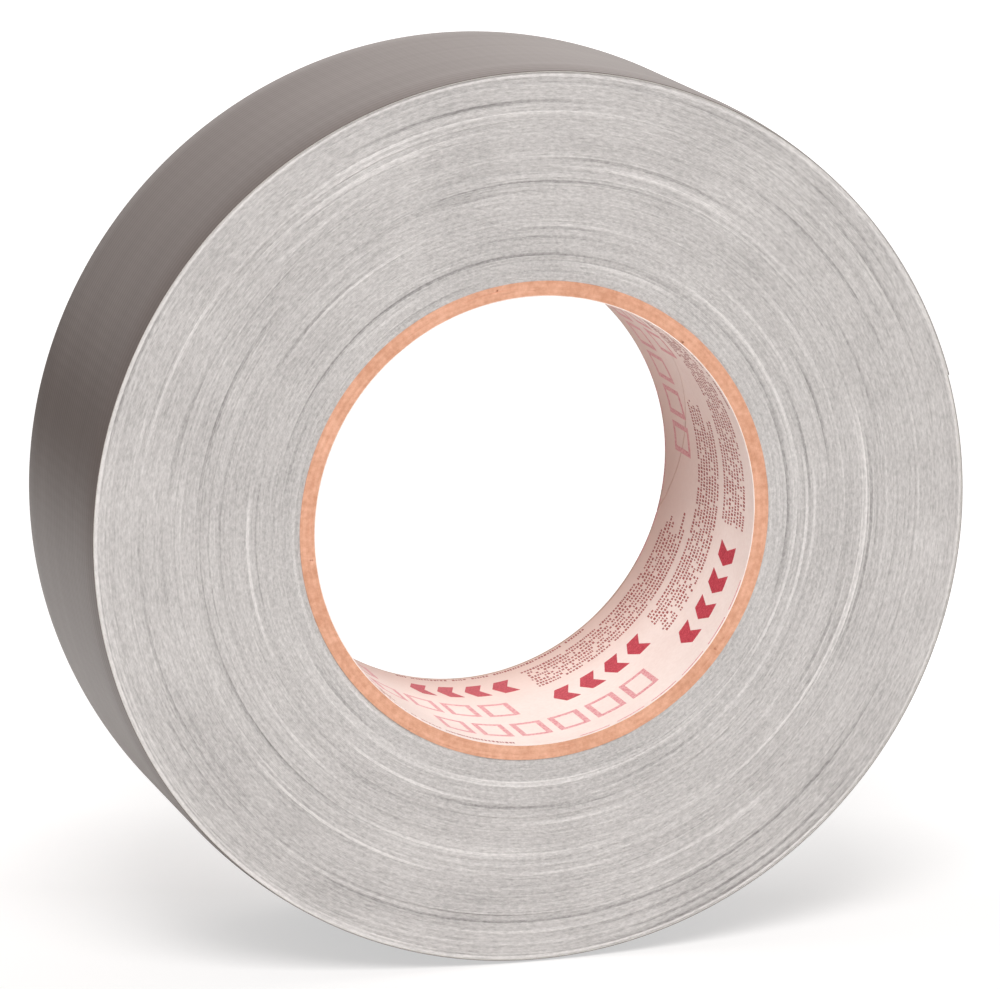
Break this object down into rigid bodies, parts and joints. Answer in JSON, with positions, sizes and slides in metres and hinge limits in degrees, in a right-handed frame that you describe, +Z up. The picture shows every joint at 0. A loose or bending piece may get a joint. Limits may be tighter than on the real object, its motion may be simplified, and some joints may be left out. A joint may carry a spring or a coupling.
{
  "type": "duct tape roll",
  "caption": "Roll of grey cloth-backed adhesive tape wound on a printed paper core, with a free end that peels up from the last turn.",
  "frame": {"origin": "middle of the core's bore, on the roll's axis and half way across its width", "axes": "+Y along the roll's axis, from the front face to the back face; +Z up, with the roll standing on its rim; +X to the right as seen from the front"},
  "size_m": [0.1519, 0.048, 0.1519],
  "materials": {
    "tape_film": "satin",
    "tape_scrim": "matte",
    "tape_adhesive": "satin",
    "wound_tape": "matte",
    "kraft_board": "matte",
    "printed_paper": "satin"
  },
  "bodies": {
    "roll": {"core_liner": "printed_paper", "core_ply_1": "kraft_board", "core_ply_2": "kraft_board", "core_ply_3": "kraft_board", "core_ply_4": "kraft_board", "core_ply_5": "kraft_board", "wound_turns": "wound_tape", "outer_turn_film": "tape_film", "outer_turn_scrim": "tape_scrim", "outer_turn_adhesive": "tape_adhesive"},
    "tape_end": {"free_end_film": "tape_film", "free_end_scrim": "tape_scrim", "free_end_adhesive": "tape_adhesive"}
  },
  "joints": [
    {"name": "end_peel", "type": "hinge", "parent": "roll", "child": "tape_end", "pos_m": [0.05996, 0, 0.04684], "axis": [0, -1, 0], "range_deg": [0, 120]}
  ]
}
